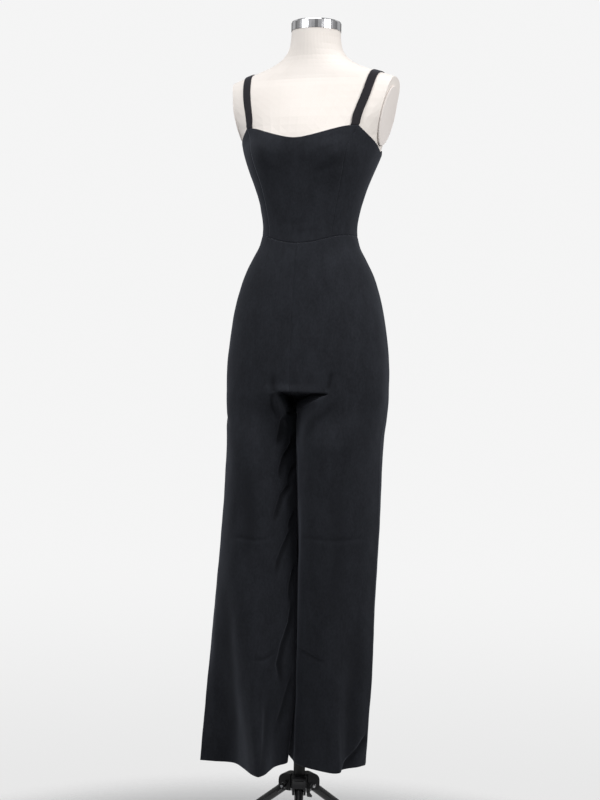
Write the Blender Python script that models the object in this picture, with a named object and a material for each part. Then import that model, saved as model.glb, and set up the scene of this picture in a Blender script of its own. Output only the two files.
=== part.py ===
"""Sleeveless wide-leg jumpsuit on a limbless dress form with a folding tripod stand.

The wearer faces -Y and the wearer's left is +X.  The origin is on the floor under
the pole, +Z is up, and every size is in metres.  The cloth panels are walls on one
body surface and two leg tubes, and the dress form is that same body, a little smaller.
"""
import math
from collections import namedtuple

import bmesh
import bpy
from mathutils import Matrix, Vector
from mathutils.bvhtree import BVHTree

# Driving dimensions ------------------------------------------------------------------
SEAM_GAP = 0.0003            # between pieces that touch
CLOTH = 0.0016               # wall of the crepe
CLOTH_CLEAR = 0.0026         # from the dress form to the inside of the cloth
WAIST_SEAM = 1.478           # height of the waist seam at the sides
HIP_EASE = 0.0035            # the trousers stand this much further off the hips
WAIST_DIP = 0.020            # how far the waist seam drops at the centre front
SIDE_SEAM = -8.0             # degrees on the body ring, a little behind the side
BACK_EDGE = 1.645            # height of the bodice's straight back edge at the centre
STRAP_SEAM = 1.7005           # height where the straps are sewn into the front
STRAP_WIDTH = 0.0172
STRAP_CLEAR = 0.0008         # from the dress form to the strap on the shoulder
CROTCH = 1.085               # height of the crotch point
CROTCH_X = -0.0185           # the crotch seam passes beside the pole
FORM_BASE = 1.147            # flat underside of the dress form
TUCK = 0.004                 # the cloth turns in this far below the form's base
SOCKET_DEEP = 0.060          # how far the pole goes into the form
NECK_TOP = 1.914
CAP_RADIUS = 0.0535
CAP_HIGH = 0.021
CAP_Y = 0.014                # the neck sits a little behind the pole
POLE_RADIUS = 0.0125
TUBE_RADIUS = 0.0095         # folding legs of the stand
TUBE_WALL = 0.0012
LEG_SLOPE = 37.5             # degrees below level when the stand is open
FRONT_LEG_TURN = 19.0        # degrees, from -Y towards the wearer's left
BOLT_RADIUS = 0.003
BOLT_HEIGHT = 0.295
BOLT_REACH = 0.029           # from the pole's axis to each hinge bolt
LUG_WIDE = 0.029
LUG_REACH = 0.043
LUG_TOP = 0.321
LUG_LOW = 0.285
COLLAR_RADIUS = 0.0185
FOOT_RADIUS = 0.0125
FOOT_LONG = 0.040

# Body of the dress form: one row for each level.  wide is the half width, front and
# back are the depths from the pole's axis, shift moves the ring back, and the two
# powers say how square the front and back halves of the ring are.
Level = namedtuple("Level", "z wide front back shift front_power back_power")
BODY = (
    Level(1.147, 0.1690, 0.1030, 0.1220, 0.000, 2.3, 2.3),
    Level(1.200, 0.1680, 0.1045, 0.1245, 0.000, 2.3, 2.3),
    Level(1.255, 0.1630, 0.1030, 0.1210, 0.000, 2.3, 2.3),
    Level(1.300, 0.1565, 0.1000, 0.1140, 0.000, 2.3, 2.3),
    Level(1.351, 0.1455, 0.0955, 0.1030, 0.000, 2.3, 2.3),
    Level(1.407, 0.1265, 0.0885, 0.0890, 0.000, 2.2, 2.3),
    Level(1.451, 0.1050, 0.0810, 0.0790, 0.000, 2.2, 2.2),
    Level(1.483, 0.0975, 0.0785, 0.0750, 0.000, 2.2, 2.2),
    Level(1.519, 0.1000, 0.0810, 0.0770, 0.000, 2.2, 2.2),
    Level(1.573, 0.1140, 0.0900, 0.0870, 0.000, 2.2, 2.3),
    Level(1.616, 0.1300, 0.1000, 0.0940, 0.000, 2.2, 2.5),
    Level(1.650, 0.1425, 0.1060, 0.0980, 0.000, 2.1, 2.9),
    Level(1.685, 0.1550, 0.1010, 0.0970, 0.000, 1.9, 2.8),
    Level(1.720, 0.1780, 0.0910, 0.0930, 0.002, 1.9, 2.7),
    Level(1.760, 0.2050, 0.0750, 0.0840, 0.006, 1.9, 2.5),
    Level(1.790, 0.2120, 0.0630, 0.0750, 0.009, 1.9, 2.4),
    Level(1.806, 0.1960, 0.0570, 0.0690, 0.011, 1.9, 2.3),
    Level(1.822, 0.1500, 0.0540, 0.0640, 0.012, 2.0, 2.2),
    Level(1.838, 0.1040, 0.0520, 0.0600, 0.013, 2.0, 2.1),
    Level(1.857, 0.0720, 0.0510, 0.0570, 0.014, 2.0, 2.1),
    Level(1.882, 0.0560, 0.0520, 0.0530, 0.014, 2.0, 2.0),
    Level(NECK_TOP, 0.0525, 0.0525, 0.0525, CAP_Y, 2.0, 2.0),
)
CUP = dict(x=0.078, z=1.648, wide=0.046, high=0.042, out=0.015)

# Top edge of the bodice front, from the side seam (ring angle) to the centre front.
Edge = namedtuple("Edge", "angle z")
NECKLINE = (
    Edge(-8.0, 1.6540),
    Edge(-2.0, 1.6585),
    Edge(5.5, 1.6645),
    Edge(11.0, 1.6685),
    Edge(17.0, 1.6735),
    Edge(25.0, 1.6810),
    Edge(32.5, 1.6890),
    Edge(38.0, 1.6960),
    Edge(41.3, STRAP_SEAM),
    Edge(48.7, STRAP_SEAM),
    Edge(54.0, 1.6970),
    Edge(62.0, 1.6900),
    Edge(69.0, 1.6840),
    Edge(76.0, 1.6790),
    Edge(83.0, 1.6750),
    Edge(90.0, 1.6735),
)
# Princess seam between the centre front and the side front, by height.
PRINCESS = (
    Edge(49.5, 1.463),
    Edge(46.0, 1.520),
    Edge(45.0, 1.573),
    Edge(45.2, 1.640),
    Edge(42.5, 1.680),
    Edge(41.3, STRAP_SEAM),
)

# Trouser legs: each row is a level, with the section's eight named points as (x, y).
Section = namedtuple(
    "Section", "z side side_front crease inner_front inseam inner_back back_crease side_back")
Knot = namedtuple("Knot", "z x y")
MM = 0.001
LEFT_LEG = (
    Section(1.060, (164, 8), (132, -78), (80, -107), (26, -84),
            (-18.3, -2), (26, 92), (85, 126), (140, 92)),
    Section(0.900, (165, 12), (124, -68), (73, -97), (18, -72),
            (-28, 2), (12, 84), (79, 112), (132, 84)),
    Section(0.720, (158, 14), (120, -60), (76, -88), (14, -62),
            (-34, 6), (-6, 80), (62, 110), (124, 84)),
    Section(0.530, (155, 12), (119, -44), (86, -76), (8, -50),
            (-42, 20), (-14, 86), (54, 112), (117, 84)),
    Section(0.352, (144, 12), (116, -26), (96, -60), (-3, -30),
            (-50, 46), (-22, 98), (44, 117), (114, 80)),
)
RIGHT_LEG = (
    Section(1.060, (-177, 0), (-140, -82), (-88, -108), (-56, -88),
            (-18.7, 0), (-60, 90), (-104, 122), (-146, 88)),
    Section(0.900, (-181, -12), (-140, -88), (-86, -112), (-34, -88),
            (-5, -24), (-44, 66), (-94, 104), (-146, 70)),
    Section(0.720, (-189, -30), (-147, -90), (-84, -119), (-31, -92),
            (1, -34), (-52, 48), (-104, 86), (-160, 48)),
    Section(0.530, (-196, -52), (-142, -78), (-66, -124), (-33, -92),
            (1, -32), (-54, 42), (-110, 72), (-172, 28)),
    Section(0.346, (-203, -70), (-128, -60), (-46, -130), (-37, -56),
            (-23, -11), (-60, 42), (-118, 62), (-182, 12)),
)
# The legs press together along an upright sheet: where it crosses each level, and
# its turn from straight front to back, in degrees.
Contact = namedtuple("Contact", "z x turn")
CONTACT = (
    Contact(0.340, -0.0195, 30.0),
    Contact(0.530, -0.0200, 29.0),
    Contact(0.720, -0.0205, 28.0),
    Contact(0.900, -0.0205, 26.0),
    Contact(1.020, -0.0190, 14.0),
    Contact(CROTCH, CROTCH_X, 0.0),
)
LEG_GAP = 0.0012             # left between the two legs where they press together
# Hanging levels of the trouser rows, closest together at the base of the form.
TROUSER_ROWS = (
    WAIST_SEAM, 1.455, 1.430, 1.400, 1.365, 1.325, 1.285, 1.240, 1.195, 1.165, FORM_BASE - TUCK,
    1.137, 1.122, 1.100, CROTCH, 1.050, 1.000, 0.940, 0.870, 0.800, 0.720, 0.640, 0.560,
    0.480, 0.420, 0.0)
PANEL_STEPS = (0.0, 0.5, 1.0, 1.35, 1.7, 2.0, 2.3, 2.65, 3.0, 3.3, 3.6, 3.85, 4.0)
HEM_DROP = 0.005             # the hem hangs lower at the front ridge
THIGH = 1.020                # the hip ring has become the leg's own section here
HANG = 0.015                 # cloth below the form hangs this far out from a straight run


# Small helpers -----------------------------------------------------------------------
def smooth_at(rows, z, field):
    """A smooth curve through one column of a table, read at height z."""
    count = len(rows)
    if z <= rows[0].z:
        return getattr(rows[0], field)
    if z >= rows[-1].z:
        return getattr(rows[-1], field)
    index = max(i for i in range(count - 1) if rows[i].z <= z)
    low, high = rows[index], rows[index + 1]
    span = high.z - low.z
    share = (z - low.z) / span

    def slope(i):
        before, after = rows[max(i - 1, 0)], rows[min(i + 1, count - 1)]
        return (getattr(after, field) - getattr(before, field)) / (after.z - before.z)

    value_low, value_high = getattr(low, field), getattr(high, field)
    return ((2 * share ** 3 - 3 * share ** 2 + 1) * value_low
            + (share ** 3 - 2 * share ** 2 + share) * span * slope(index)
            + (3 * share ** 2 - 2 * share ** 3) * value_high
            + (share ** 3 - share ** 2) * span * slope(index + 1))


def straight_at(rows, key, value, at):
    """Straight lines between a table's rows."""
    rows = sorted(rows, key=lambda row: getattr(row, key))
    if at <= getattr(rows[0], key):
        return getattr(rows[0], value)
    for low, high in zip(rows, rows[1:]):
        if at <= getattr(high, key):
            share = (at - getattr(low, key)) / (getattr(high, key) - getattr(low, key))
            return getattr(low, value) * (1 - share) + getattr(high, value) * share
    return getattr(rows[-1], value)


def soft_step(value):
    value = min(max(value, 0.0), 1.0)
    return value * value * (3 - 2 * value)


def material(name, colour, roughness, metallic=0.0):
    """A Principled material, made once and shared by its name."""
    if name in bpy.data.materials:
        return bpy.data.materials[name]
    made = bpy.data.materials.new(name)
    made.use_nodes = True
    shader = made.node_tree.nodes["Principled BSDF"]
    shader.inputs["Base Color"].default_value = (*colour, 1.0)
    shader.inputs["Roughness"].default_value = roughness
    shader.inputs["Metallic"].default_value = metallic
    return made


def add_object(name, mesh_data, finish, smooth=True):
    """Link a bmesh to the scene as a named object with its finish."""
    bmesh.ops.recalc_face_normals(mesh_data, faces=mesh_data.faces)
    mesh = bpy.data.meshes.new(name)
    mesh_data.to_mesh(mesh)
    mesh_data.free()
    if smooth:
        mesh.shade_smooth()
        mesh.set_sharp_from_angle(angle=math.radians(35))
    mesh.materials.append(finish)
    made = bpy.data.objects.new(name, mesh)
    bpy.context.scene.collection.objects.link(made)
    return made


def crepe():
    return material("black_crepe", (0.012, 0.013, 0.016), 0.85)


def strap_crepe():
    return material("strap_crepe", (0.016, 0.013, 0.016), 0.80)


def form_cover():
    return material("form_jersey", (0.86, 0.83, 0.79), 0.90)


def plate_cover():
    return material("plate_jersey", (0.82, 0.77, 0.74), 0.90)


def chrome():
    return material("polished_chrome", (0.80, 0.80, 0.82), 0.10, 1.0)


def black_steel():
    return material("black_steel", (0.010, 0.010, 0.011), 0.30, 0.2)


def black_plastic():
    return material("black_plastic", (0.014, 0.014, 0.016), 0.45)


def black_rubber():
    return material("black_rubber", (0.012, 0.012, 0.012), 0.85)


def zinc():
    return material("bright_zinc", (0.70, 0.70, 0.70), 0.25, 1.0)


# The body surface ----------------------------------------------------------------------
def body_point(angle, z, out=0.0):
    """A point on the body ring: 0 is the wearer's left, 90 front, 180 right, 270 back."""
    turn = math.radians(angle)
    cosine, sine = math.cos(turn), math.sin(turn)
    front_half = sine >= 0
    power = smooth_at(BODY, z, "front_power" if front_half else "back_power")
    depth = smooth_at(BODY, z, "front" if front_half else "back")
    wide = smooth_at(BODY, z, "wide") + out
    x = wide * math.copysign(abs(cosine) ** (2 / power), cosine)
    y = -(depth + out) * math.copysign(abs(sine) ** (2 / power), sine)
    if front_half:
        for side in (-1, 1):
            across = (x - side * CUP["x"]) / CUP["wide"]
            along = (z - CUP["z"]) / CUP["high"]
            y -= CUP["out"] * math.exp(-across * across - along * along)
    return Vector((x, y + smooth_at(BODY, z, "shift"), z))


def waist_height(angle):
    """The waist seam drops at the centre front and is level behind."""
    forward = max(math.sin(math.radians(angle)), 0.0)
    return WAIST_SEAM - WAIST_DIP * forward ** 4


def front_edge(angle):
    """Height of the neckline and armhole edge on either half of the front."""
    folded = angle if angle <= 90 else 180 - angle
    return straight_at(NECKLINE, "angle", "z", folded)


def back_edge(angle):
    """The back edge runs straight across, rising a little to the side seams."""
    across = abs(((angle - 270) + 180) % 360 - 180) / (90 + SIDE_SEAM)
    corner = 0.005 * soft_step((angle - 348.0) / 4.0) if angle > 340 else 0.0
    return BACK_EDGE + (front_edge(SIDE_SEAM) - BACK_EDGE) * across ** 2 + corner


# Cloth walls -----------------------------------------------------------------------------
def cloth_panel(name, outer, normals, finish, thick=CLOTH):
    """A closed wall from a grid of outer points and the outward normal at each."""
    rows, columns = len(outer), len(outer[0])
    panel = bmesh.new()
    face_out = [[panel.verts.new(point) for point in row] for row in outer]
    face_in = [[panel.verts.new(point - normal * thick)
                for point, normal in zip(row, row_normals)]
               for row, row_normals in zip(outer, normals)]
    for i in range(rows - 1):
        for j in range(columns - 1):
            panel.faces.new((face_out[i][j], face_out[i + 1][j],
                             face_out[i + 1][j + 1], face_out[i][j + 1]))
            panel.faces.new((face_in[i][j], face_in[i][j + 1],
                             face_in[i + 1][j + 1], face_in[i + 1][j]))
    for i in range(rows - 1):
        for j in (0, columns - 1):
            panel.faces.new((face_out[i][j], face_in[i][j],
                             face_in[i + 1][j], face_out[i + 1][j]))
    for j in range(columns - 1):
        for i in (0, rows - 1):
            panel.faces.new((face_out[i][j], face_out[i][j + 1],
                             face_in[i][j + 1], face_in[i][j]))
    return add_object(name, panel, finish)


def pulled_in(grid):
    """Draw all four edges of a grid in by half a seam gap, along the cloth."""
    half = SEAM_GAP / 2
    moved = [[point.copy() for point in row] for row in grid]
    for row in moved:
        row[0] += (row[1] - row[0]).normalized() * half
        row[-1] += (row[-2] - row[-1]).normalized() * half
    for j in range(len(moved[0])):
        moved[0][j] += (moved[1][j] - moved[0][j]).normalized() * half
        moved[-1][j] += (moved[-2][j] - moved[-1][j]).normalized() * half
    return moved


def spread(low, high, count):
    return [low + (high - low) * i / (count - 1) for i in range(count)]


def bodice_panel(name, left_edge, right_edge, top_edge, columns, rows):
    """A panel between two seams given as ring angle by height, waist seam to top edge."""
    out = CLOTH_CLEAR + CLOTH

    def place(share, rise):
        angle = left_edge(WAIST_SEAM) * (1 - share) + right_edge(WAIST_SEAM) * share
        z = WAIST_SEAM
        for _ in range(4):
            z = waist_height(angle) * (1 - rise) + top_edge(angle) * rise
            angle = left_edge(z) * (1 - share) + right_edge(z) * share
        return angle, z

    outer, normals = [], []
    for rise in spread(0.0, 1.0, rows):
        row, row_normals = [], []
        for share in spread(0.0, 1.0, columns):
            angle, z = place(share, rise)
            point = body_point(angle, z, out)
            around = body_point(angle + 0.2, z, out) - body_point(angle - 0.2, z, out)
            upward = body_point(angle, z + 0.0005, out) - body_point(angle, z - 0.0005, out)
            normal = around.cross(upward).normalized()
            if normal.dot(Vector((point.x, point.y, 0))) < 0:
                normal.negate()
            row.append(point)
            row_normals.append(normal)
        outer.append(row)
        normals.append(row_normals)
    return cloth_panel(name, pulled_in(outer), normals, crepe())


def princess(z):
    return straight_at(PRINCESS, "z", "angle", z)


def build_bodice():
    bodice_panel("bodice_centre_front", princess, lambda z: 180 - princess(z),
                 front_edge, 17, 13)
    bodice_panel("bodice_side_front_left", lambda z: SIDE_SEAM, princess,
                 front_edge, 7, 13)
    bodice_panel("bodice_side_front_right", lambda z: 180 - princess(z),
                 lambda z: 180 - SIDE_SEAM, front_edge, 7, 13)
    bodice_panel("bodice_back", lambda z: 180 - SIDE_SEAM, lambda z: 360 + SIDE_SEAM,
                 back_edge, 17, 13)


# Trousers ----------------------------------------------------------------------------------
def leg_point(leg, station, z):
    """A point on a leg's section: station 0 side, 2 crease, 4 inseam, 6 back, 8 side."""
    names = Section._fields[1:]
    rows = sorted(leg, key=lambda row: row.z)

    def knot(number):
        name = names[number % 8]
        column = [Knot(row.z, getattr(row, name)[0], getattr(row, name)[1]) for row in rows]
        return Vector((smooth_at(column, z, "x"), smooth_at(column, z, "y"))) * MM

    first = math.floor(station)
    share = station - first
    before, start, end, after = (knot(first + i) for i in (-1, 0, 1, 2))
    flat = 0.5 * (2 * start + (end - before) * share
                  + (2 * before - 5 * start + 4 * end - after) * share ** 2
                  + (3 * start - before - 3 * end + after) * share ** 3)
    return Vector((flat.x, flat.y, z))


def press_apart(point, side):
    """Keep a leg on its own side of the sheet where the two legs meet."""
    if point.z > CROTCH:
        return point
    turn = math.radians(smooth_at(CONTACT, point.z, "turn"))
    away = Vector((math.cos(turn), math.sin(turn), 0)) * side
    ahead = (point - Vector((smooth_at(CONTACT, point.z, "x"), 0, point.z))).dot(away)
    return point + away * max(LEG_GAP / 2 - ahead, 0.0)


def trouser_point(side, is_front, across, z):
    """across runs 0 at the side seam to 4 at the centre or inseam."""
    leg = LEFT_LEG if side > 0 else RIGHT_LEG
    share = across / 4
    angle = SIDE_SEAM + (90 - SIDE_SEAM) * share
    if not is_front:
        angle = SIDE_SEAM - (90 + SIDE_SEAM) * share
    if side < 0:
        angle = 180 - angle
    ease = HIP_EASE * soft_step((WAIST_SEAM - z) / 0.06)
    hip = body_point(angle, max(z, FORM_BASE), CLOTH_CLEAR + CLOTH + ease)
    hip.z = z
    tube = leg_point(leg, across if is_front else 8 - across, z)
    share = max(share, 0.0)
    top = FORM_BASE - TUCK
    bottom = THIGH + (CROTCH - THIGH) * share ** 2
    reach = min(max((top - z) / (top - bottom), 0.0), 1.0)
    tuck = soft_step((share - 0.78) / 0.12) if is_front else 0.0
    weight = soft_step(reach) * (1 - tuck) + reach ** 0.55 * tuck
    point = hip.lerp(tube, weight)
    fall = HANG * 4 * weight * (1 - weight) * math.sin(math.pi * min(share, 1.0)) * (1 - tuck)
    point.y += -fall if is_front else fall
    return press_apart(point, side)


def trouser_panel(name, side, is_front):
    leg = LEFT_LEG if side > 0 else RIGHT_LEG
    hem = leg[-1].z

    def height(across, row):
        share = across / 4
        if TROUSER_ROWS[row] == 0.0:
            ridge = math.exp(-((across - 2.0) / 0.8) ** 2) if is_front else 0.0
            return hem - HEM_DROP * ridge
        angle = SIDE_SEAM + (90 - SIDE_SEAM) * share
        dip = waist_height(angle) - WAIST_SEAM if is_front else 0.0
        fade = soft_step((TROUSER_ROWS[row] - 1.38) / (WAIST_SEAM - 1.38))
        return TROUSER_ROWS[row] + dip * fade

    outer, normals = [], []
    for row in range(len(TROUSER_ROWS)):
        line, line_normals = [], []
        for across in PANEL_STEPS:
            z = height(across, row)
            point = trouser_point(side, is_front, across, z)
            around = (trouser_point(side, is_front, across + 0.02, z)
                      - trouser_point(side, is_front, across - 0.02, z))
            upward = (trouser_point(side, is_front, across, z + 0.001)
                      - trouser_point(side, is_front, across, z - 0.001))
            normal = around.cross(upward).normalized()
            line.append(point)
            line_normals.append(normal * (-side if is_front else side))
        outer.append(line)
        normals.append(line_normals)
    return cloth_panel(name, pulled_in(outer), normals, crepe())


def build_trousers():
    for side, word in ((1, "left"), (-1, "right")):
        trouser_panel("trouser_front_" + word, side, True)
        trouser_panel("trouser_back_" + word, side, False)


# Dress form ----------------------------------------------------------------------------
FORM_STEPS = 48
ARM_CUT_TOP = (0.1770, 1.800)        # x and z where the flat arm ends start and finish
ARM_CUT_LOW = (0.1445, 1.660)
PLATE_THICK = 0.004
PLATE_SIDES = 32
PLATE_HALF = (0.046, 0.064)          # half depth and half height of an arm plate
PLATE_MIDDLE = (0.011, 1.731)        # y and z


def placed(made, parent, location=(0, 0, 0), turn=0.0):
    """Hang an object on its parent empty, turned about the vertical."""
    made.parent = parent
    made.location = location
    made.rotation_euler = (0.0, 0.0, turn)
    return made


def empty(name, parent=None, location=(0, 0, 0), turn=0.0):
    made = bpy.data.objects.new(name, None)
    bpy.context.scene.collection.objects.link(made)
    return placed(made, parent, location, turn)


def guide(made):
    """A cutter or a joined shape is only a guide and is left out of the model."""
    made.hide_render = True
    made.display_type = "WIRE"
    return made


def boolean(target, other, operation="DIFFERENCE"):
    change = target.modifiers.new(other.name, "BOOLEAN")
    change.object = guide(other)
    change.operation = operation
    return target


def turned(name, profile, finish, steps=24):
    """Turn a closed outline of (radius, height) points about the vertical axis."""
    shape = bmesh.new()
    rings = []
    for radius, height in profile:
        if radius == 0:
            rings.append([shape.verts.new((0, 0, height))] * steps)
            continue
        rings.append([shape.verts.new((radius * math.cos(2 * math.pi * i / steps),
                                       radius * math.sin(2 * math.pi * i / steps), height))
                      for i in range(steps)])
    for low, high in zip(rings, rings[1:] + rings[:1]):
        if low[0] is low[1] and high[0] is high[1]:
            continue
        for i in range(steps):
            corners = [low[i], low[(i + 1) % steps], high[(i + 1) % steps], high[i]]
            shape.faces.new(list(dict.fromkeys(corners)))
    return add_object(name, shape, finish)


def extruded(name, outline, half_wide, finish, smooth=False):
    """Extrude an outline of (x, z) points to half_wide on both sides of y = 0."""
    shape = bmesh.new()
    face = shape.faces.new([shape.verts.new((x, -half_wide, z)) for x, z in outline])
    grown = bmesh.ops.extrude_face_region(shape, geom=[face])
    corners = [item for item in grown["geom"] if isinstance(item, bmesh.types.BMVert)]
    bmesh.ops.translate(shape, verts=corners, vec=(0, 2 * half_wide, 0))
    return add_object(name, shape, finish, smooth)


def turn_mesh(made, angle, axis, lift=(0, 0, 0)):
    """Turn and move a mesh inside its object, which keeps its own origin."""
    made.data.transform(Matrix.Translation(lift) @ Matrix.Rotation(math.radians(angle), 4, axis))
    return made


def form_levels():
    """Body levels with one more ring halfway wherever they are far apart."""
    levels = []
    for low, high in zip(BODY, BODY[1:]):
        levels += [low.z, (low.z + high.z) / 2]
    return levels + [BODY[-1].z]


def form_mesh():
    shape = bmesh.new()
    rings = [[shape.verts.new(body_point(360 * i / FORM_STEPS, z)) for i in range(FORM_STEPS)]
             for z in form_levels()]
    for low, high in zip(rings, rings[1:]):
        for i in range(FORM_STEPS):
            after = (i + 1) % FORM_STEPS
            shape.faces.new((low[i], low[after], high[after], high[i]))
    shape.faces.new(rings[0])
    shape.faces.new(rings[-1][::-1])
    bmesh.ops.recalc_face_normals(shape, faces=shape.faces)
    return shape


def build_form(root):
    body = form_mesh()
    surface = BVHTree.FromBMesh(body)
    torso = placed(add_object("form_torso", body, form_cover()), root)
    lean = math.degrees(math.atan2(ARM_CUT_TOP[0] - ARM_CUT_LOW[0],
                                   ARM_CUT_TOP[1] - ARM_CUT_LOW[1]))
    middle_x = ((ARM_CUT_TOP[0] + ARM_CUT_LOW[0]) / 2
                + (PLATE_MIDDLE[1] - (ARM_CUT_TOP[1] + ARM_CUT_LOW[1]) / 2)
                * math.tan(math.radians(lean)))
    for side, word in ((1, "left"), (-1, "right")):
        block = extruded("arm_cut_" + word, ((0, -0.095), (0.09, -0.095), (0.09, 0.12), (0, 0.12)),
                         0.16, form_cover())
        turn_mesh(block, lean, "Y")
        turn_mesh(block, 90 - side * 90, "Z")
        placed(block, root, (side * middle_x, *PLATE_MIDDLE))
        boolean(torso, block)
        outline = [(PLATE_HALF[0] * math.cos(2 * math.pi * i / PLATE_SIDES),
                    PLATE_HALF[1] * math.sin(2 * math.pi * i / PLATE_SIDES)) for i in range(PLATE_SIDES)]
        plate = extruded("form_arm_plate_" + word, outline, PLATE_THICK / 2, plate_cover())
        turn_mesh(plate, 90, "Z", (SEAM_GAP + PLATE_THICK / 2, 0, 0))
        turn_mesh(plate, lean, "Y")
        turn_mesh(plate, 90 - side * 90, "Z")
        rounding = plate.modifiers.new("rounded_edge", "BEVEL")
        rounding.width = 0.0012
        rounding.segments = 1
        placed(plate, root, (side * middle_x, *PLATE_MIDDLE))
    hole = turned("socket_cut", ((0, FORM_BASE - 0.02), (POLE_RADIUS + SEAM_GAP, FORM_BASE - 0.02),
                                 (POLE_RADIUS + SEAM_GAP, FORM_BASE + SOCKET_DEEP),
                                 (0, FORM_BASE + SOCKET_DEEP)), form_cover())
    boolean(torso, placed(hole, root))
    rim = 0.004
    low, high = NECK_TOP + SEAM_GAP, NECK_TOP + SEAM_GAP + CAP_HIGH
    cap = turned("neck_cap", (
        (0, low), (CAP_RADIUS, low), (CAP_RADIUS, high - rim),
        (CAP_RADIUS - 0.3 * rim, high - 0.3 * rim), (CAP_RADIUS - rim, high),
        (CAP_RADIUS - 2 * rim, high - 0.2 * rim), (0, high - 0.2 * rim)), chrome(), 48)
    placed(cap, root, (0, CAP_Y, 0))
    return surface


# Shoulder straps ---------------------------------------------------------------------------
STRAP_PIVOT = (0.004, 1.690)         # y and z that the strap's route turns about
STRAP_TOP_X = 0.144                  # on the shoulder
STRAP_FRONT_X = 0.1168
STRAP_BACK_X = 0.106
STRAP_STATIONS = 48


def angle_at(x, z, behind):
    """The ring angle where the cloth has this x at height z, in front or behind."""
    low, high = 0.0, 90.0
    for _ in range(40):
        middle = (low + high) / 2
        turn = 360 - middle if behind else middle
        if body_point(turn, z, CLOTH_CLEAR + CLOTH).x > x:
            low = middle
        else:
            high = middle
    return 360 - low if behind else low


def strap_end(x, z_edge, behind):
    """Three points of a strap's end, level, just above the bodice's edge, and normals."""
    middle = angle_at(x, z_edge, behind)
    across = body_point(middle + 0.5, z_edge) - body_point(middle - 0.5, z_edge)
    points, normals = [], []
    for offset in (-0.5, 0.0, 0.5):
        shift = offset * STRAP_WIDTH * abs(across.x) / across.length
        angle = angle_at(x + shift, z_edge, behind)
        point = body_point(angle, z_edge, CLOTH_CLEAR + CLOTH)
        around = body_point(angle + 0.5, z_edge) - body_point(angle - 0.5, z_edge)
        point.z = (back_edge(angle) if behind else z_edge) + SEAM_GAP
        points.append(point)
        normals.append(Vector((-around.y, around.x, 0)).normalized()
                       * (1 if point.y * around.x > 0 else -1))
    return points, normals


def build_strap(name, side, surface, root):
    front, front_normals = strap_end(STRAP_FRONT_X, STRAP_SEAM, False)
    back, back_normals = strap_end(STRAP_BACK_X, BACK_EDGE + 0.004, True)

    def bearing(point):
        return math.atan2(point.z - STRAP_PIVOT[1], STRAP_PIVOT[0] - point.y) % (2 * math.pi)

    start, finish = bearing(front[1]), bearing(back[1])
    outer, normals = [front], [front_normals]
    for i in range(1, STRAP_STATIONS):
        share = i / STRAP_STATIONS
        turn = start + (finish - start) * share
        lift = STRAP_CLEAR + (CLOTH_CLEAR - STRAP_CLEAR) * abs(2 * share - 1) ** 6
        x = (STRAP_FRONT_X * (1 - share) + STRAP_BACK_X * share
             + (4 * share * (1 - share)) ** 2 * (STRAP_TOP_X - (STRAP_FRONT_X + STRAP_BACK_X) / 2))
        ray = Vector((0, -math.cos(turn), math.sin(turn)))
        middle = surface.ray_cast(Vector((x, *STRAP_PIVOT)), ray)[1]
        row, row_normals = [], []
        for offset in (-0.5, 0.0, 0.5):
            shift = offset * STRAP_WIDTH * math.sqrt(1 - middle.x ** 2)
            hit, normal, _, _ = surface.ray_cast(Vector((x + shift, *STRAP_PIVOT)), ray)
            row.append(hit + normal * (lift + CLOTH))
            row_normals.append(normal)
        outer.append(row)
        normals.append(row_normals)
    outer.append(back)
    normals.append(back_normals)
    if side < 0:
        flip = Vector((-1, 1, 1))
        outer = [[point * flip for point in row] for row in outer]
        normals = [[normal * flip for normal in row] for row in normals]
    placed(cloth_panel(name, outer, normals, strap_crepe()), root)


# Tripod stand ----------------------------------------------------------------------------------
def build_pole(root):
    top = FORM_BASE + SOCKET_DEEP - SEAM_GAP
    pole = turned("pole", ((0, LUG_LOW), (POLE_RADIUS, LUG_LOW), (POLE_RADIUS, top), (0, top)),
                  black_steel())
    placed(pole, root)


def lug_outline():
    """A lug from the side: square inside, a rounded top corner and a chamfered foot."""
    corner = 0.016
    centre_x, centre_z = LUG_REACH - corner, LUG_TOP - corner
    arc = [(centre_x + corner * math.sin(math.radians(turn)),
            centre_z + corner * math.cos(math.radians(turn))) for turn in range(0, 91, 15)]
    return [(0.014, LUG_LOW), (0.014, LUG_TOP)] + arc + [
        (LUG_REACH, LUG_LOW + 0.004), (LUG_REACH - 0.004, LUG_LOW)]


def build_hub(root, turns):
    bore = POLE_RADIUS + SEAM_GAP
    hub = placed(turned("hub", ((bore, LUG_LOW), (COLLAR_RADIUS, LUG_LOW),
                                (COLLAR_RADIUS, LUG_TOP - 0.003),
                                (COLLAR_RADIUS - 0.003, LUG_TOP), (bore, LUG_TOP)),
                        black_plastic()), root)
    slot_half = TUBE_RADIUS + SEAM_GAP
    slot = ((0.0152, LUG_LOW - 0.01), (0.0152, LUG_TOP - 0.005), (LUG_REACH - 0.0035, LUG_TOP - 0.005),
            (LUG_REACH - 0.0035, BOLT_HEIGHT + 0.0045), (0.05, BOLT_HEIGHT + 0.0045),
            (0.05, LUG_LOW - 0.01))
    for number, turn in enumerate(turns, 1):
        lug = extruded(f"lug_{number}", lug_outline(), LUG_WIDE / 2, black_plastic())
        boolean(hub, placed(lug, root, turn=turn), "UNION")
    for number, turn in enumerate(turns, 1):
        cut = extruded(f"slot_cut_{number}", slot, slot_half, black_plastic())
        boolean(hub, placed(cut, root, turn=turn))
        drill = turned(f"bolt_cut_{number}", rod(BOLT_RADIUS + SEAM_GAP, -0.03, 0.03),
                       black_plastic(), 16)
        turn_mesh(drill, 90, "X")
        place = Matrix.Rotation(turn, 4, "Z") @ Vector((BOLT_REACH, 0, BOLT_HEIGHT))
        boolean(hub, placed(drill, root, place, turn))
    return hub


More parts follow.
